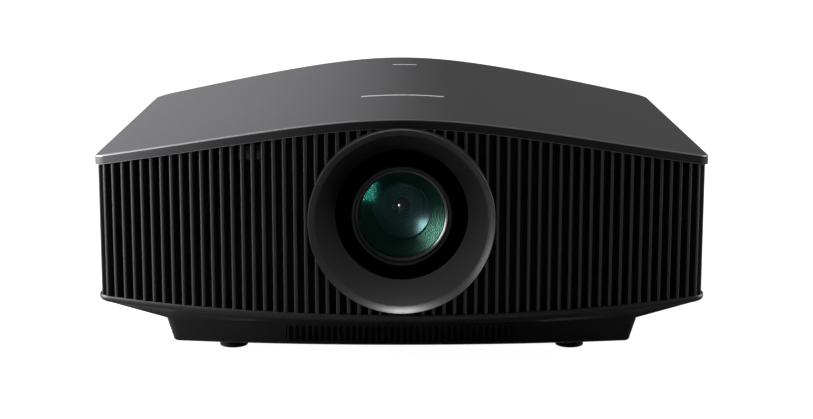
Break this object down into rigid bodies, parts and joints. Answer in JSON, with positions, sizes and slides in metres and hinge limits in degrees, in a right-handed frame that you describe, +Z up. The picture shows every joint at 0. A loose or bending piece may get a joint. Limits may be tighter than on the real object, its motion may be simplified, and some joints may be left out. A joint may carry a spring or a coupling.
{
  "type": "home projector",
  "caption": "Home cinema projector with an arched cover, slatted front grille, dished lens bezel, shifting zoom lens, screw feet, side keys and connectors.",
  "frame": {"origin": "middle of the base, on the surface that the feet stand on", "axes": "+Z up, the lens looks along -Y, +X is to the right when the lens faces the viewer"},
  "size_m": [0.5596, 0.495, 0.2301],
  "materials": {
    "cover": "satin charcoal metallic",
    "grille": "satin black",
    "bezel": "satin black",
    "case": "fine textured black",
    "panel": "fine textured black",
    "key": "satin black",
    "window": "dark infrared window",
    "lamp": "clear diffuser",
    "glass": "coated optical glass",
    "rubber": "matte",
    "steel": "zinc plated",
    "socket": "plated connector shell",
    "aluminium": "machined",
    "brass": "machined",
    "nylon": "natural nylon",
    "board": "green circuit board",
    "phosphor": "phosphor coated disc",
    "casting": "black anodised casting",
    "supply_shell": "plated sheet, a light solid block",
    "foam": "open foam"
  },
  "bodies": {
    "root": {"ac_inlet": "case", "bottom_case": "case", "front_grille": "grille", "hdmi_port_1": "socket", "hdmi_port_2": "socket", "ir_window_front": "window", "ir_window_rear": "window", "lan_port": "socket", "lens_bezel": "bezel", "plinth_grille": "case", "power_lamp": "lamp", "rear_foot_left": "rubber", "rear_foot_right": "rubber", "rear_panel": "panel", "serial_port": "socket", "side_panel_left": "panel", "side_panel_right": "panel", "terminal_panel": "case", "top_cover": "cover", "trigger_jack": "case", "air_filter": "foam", "fan_frame_left": "case", "fan_frame_right": "case", "heat_sink": "aluminium", "laser_source": "aluminium", "main_board": "board", "optical_engine": "casting", "power_supply": "supply_shell", "shift_base": "aluminium", "wheel_motor": "steel"},
    "up_carriage": {"up_carriage": "aluminium"},
    "side_carriage": {"side_carriage": "aluminium", "lens_barrel": "bezel", "front_glass": "glass", "focus_motor": "steel", "zoom_motor": "steel"},
    "up_lead_screw": {"up_lead_screw": "steel"},
    "side_lead_screw": {"side_lead_screw": "steel"},
    "focus_ring": {"focus_ring": "nylon"},
    "focus_pinion": {"focus_pinion": "brass"},
    "focus_group": {"focus_group": "glass"},
    "zoom_ring": {"zoom_ring": "nylon"},
    "zoom_pinion": {"zoom_pinion": "brass"},
    "zoom_group": {"zoom_group": "glass"},
    "foot_stem_left": {"foot_stem_left": "steel"},
    "foot_stem_right": {"foot_stem_right": "steel"},
    "foot_pad_left": {"foot_pad_left": "rubber"},
    "foot_pad_right": {"foot_pad_right": "rubber"},
    "fan_rotor_left": {"fan_rotor_left": "case"},
    "fan_rotor_right": {"fan_rotor_right": "case"},
    "phosphor_wheel": {"phosphor_wheel": "phosphor"},
    "filter_door": {"filter_door": "panel"},
    "power_button": {"power_button": "key"},
    "input_button": {"input_button": "key"},
    "menu_button": {"menu_button": "key"},
    "enter_button": {"enter_button": "key"},
    "up_button": {"up_button": "key"},
    "down_button": {"down_button": "key"},
    "left_button": {"left_button": "key"},
    "right_button": {"right_button": "key"}
  },
  "joints": [
    {"name": "lens_shift_vertical", "type": "slide", "parent": "root", "child": "up_carriage", "axis": [0, 0, 1], "range_m": [-0.009, 0.009]},
    {"name": "vertical_screw_turn", "type": "hinge", "parent": "root", "child": "up_lead_screw", "pos_m": [0.075, -0.1325, 0.14065], "axis": [0, 0, 1], "range_deg": [-470, 470]},
    {"name": "lens_shift_horizontal", "type": "slide", "parent": "up_carriage", "child": "side_carriage", "axis": [1, 0, 0], "range_m": [-0.005, 0.005]},
    {"name": "horizontal_screw_turn", "type": "hinge", "parent": "up_carriage", "child": "side_lead_screw", "pos_m": [0, -0.14, 0.07265], "axis": [1, 0, 0], "range_deg": [-275, 275]},
    {"name": "focus_turn", "type": "hinge", "parent": "side_carriage", "child": "focus_ring", "pos_m": [0, -0.203, 0.14065], "axis": [0, 1, 0], "range_deg": [-50, 50]},
    {"name": "focus_pinion_turn", "type": "hinge", "parent": "side_carriage", "child": "focus_pinion", "pos_m": [0.04243, -0.203, 0.18308], "axis": [0, 1, 0], "range_deg": [-286, 286]},
    {"name": "focus_travel", "type": "slide", "parent": "side_carriage", "child": "focus_group", "axis": [0, 1, 0], "range_m": [-0.0026, 0.0026]},
    {"name": "zoom_turn", "type": "hinge", "parent": "side_carriage", "child": "zoom_ring", "pos_m": [0, -0.184, 0.14065], "axis": [0, 1, 0], "range_deg": [-50, 50]},
    {"name": "zoom_pinion_turn", "type": "hinge", "parent": "side_carriage", "child": "zoom_pinion", "pos_m": [-0.04243, -0.184, 0.09822], "axis": [0, 1, 0], "range_deg": [-286, 286]},
    {"name": "zoom_travel", "type": "slide", "parent": "side_carriage", "child": "zoom_group", "axis": [0, 1, 0], "range_m": [-0.0026, 0.0026]},
    {"name": "left_fan_spin", "type": "hinge", "parent": "root", "child": "fan_rotor_left", "pos_m": [-0.18, -0.176, 0.112], "axis": [0, 1, 0], "continuous": true},
    {"name": "right_fan_spin", "type": "hinge", "parent": "root", "child": "fan_rotor_right", "pos_m": [0.18, -0.176, 0.112], "axis": [0, 1, 0], "continuous": true},
    {"name": "phosphor_wheel_spin", "type": "hinge", "parent": "root", "child": "phosphor_wheel", "pos_m": [-0.112, 0.048, 0.1], "axis": [0, 1, 0], "continuous": true},
    {"name": "front_foot_left_height", "type": "slide", "parent": "root", "child": "foot_stem_left", "axis": [0, 0, -1], "range_m": [0, 0.012]},
    {"name": "front_foot_left_turn", "type": "hinge", "parent": "foot_stem_left", "child": "foot_pad_left", "pos_m": [-0.158, -0.1295, 0], "axis": [0, 0, 1], "range_deg": [-5, 1085]},
    {"name": "front_foot_right_height", "type": "slide", "parent": "root", "child": "foot_stem_right", "axis": [0, 0, -1], "range_m": [0, 0.012]},
    {"name": "front_foot_right_turn", "type": "hinge", "parent": "foot_stem_right", "child": "foot_pad_right", "pos_m": [0.158, -0.1295, 0], "axis": [0, 0, 1], "range_deg": [-5, 1085]},
    {"name": "filter_door_swing", "type": "hinge", "parent": "root", "child": "filter_door", "pos_m": [-0.27364, 0.115, 0.068], "axis": [-0.0146, -0.9999, 0], "range_deg": [0, 85]},
    {"name": "power_press", "type": "slide", "parent": "root", "child": "power_button", "axis": [-1, 0, 0], "range_m": [0, 0.0008], "stiffness_N_per_m": 1000, "springref_m": -0.0008},
    {"name": "input_press", "type": "slide", "parent": "root", "child": "input_button", "axis": [-1, 0, 0], "range_m": [0, 0.0008], "stiffness_N_per_m": 1000, "springref_m": -0.0008},
    {"name": "menu_press", "type": "slide", "parent": "root", "child": "menu_button", "axis": [-1, 0, 0], "range_m": [0, 0.0008], "stiffness_N_per_m": 1000, "springref_m": -0.0008},
    {"name": "enter_press", "type": "slide", "parent": "root", "child": "enter_button", "axis": [-1, 0, 0], "range_m": [0, 0.0008], "stiffness_N_per_m": 1000, "springref_m": -0.0008},
    {"name": "up_press", "type": "slide", "parent": "root", "child": "up_button", "axis": [-1, 0, 0], "range_m": [0, 0.0008], "stiffness_N_per_m": 1000, "springref_m": -0.0008},
    {"name": "down_press", "type": "slide", "parent": "root", "child": "down_button", "axis": [-1, 0, 0], "range_m": [0, 0.0008], "stiffness_N_per_m": 1000, "springref_m": -0.0008},
    {"name": "left_press", "type": "slide", "parent": "root", "child": "left_button", "axis": [-1, 0, 0], "range_m": [0, 0.0008], "stiffness_N_per_m": 1000, "springref_m": -0.0008},
    {"name": "right_press", "type": "slide", "parent": "root", "child": "right_button", "axis": [-1, 0, 0], "range_m": [0, 0.0008], "stiffness_N_per_m": 1000, "springref_m": -0.0008}
  ],
  "couplings": [
    {"joint": "vertical_screw_turn", "follows": "lens_shift_vertical", "rad_per_m": 785.4},
    {"joint": "horizontal_screw_turn", "follows": "lens_shift_horizontal", "rad_per_m": 785.4},
    {"joint": "focus_pinion_turn", "follows": "focus_turn", "ratio": -5.6667},
    {"joint": "focus_travel", "follows": "focus_turn", "m_per_rad": 0.0028648},
    {"joint": "zoom_pinion_turn", "follows": "zoom_turn", "ratio": -5.6667},
    {"joint": "zoom_travel", "follows": "zoom_turn", "m_per_rad": 0.0028648},
    {"joint": "front_foot_left_turn", "follows": "front_foot_left_height", "rad_per_m": 1570.8},
    {"joint": "front_foot_right_turn", "follows": "front_foot_right_height", "rad_per_m": 1570.8}
  ]
}
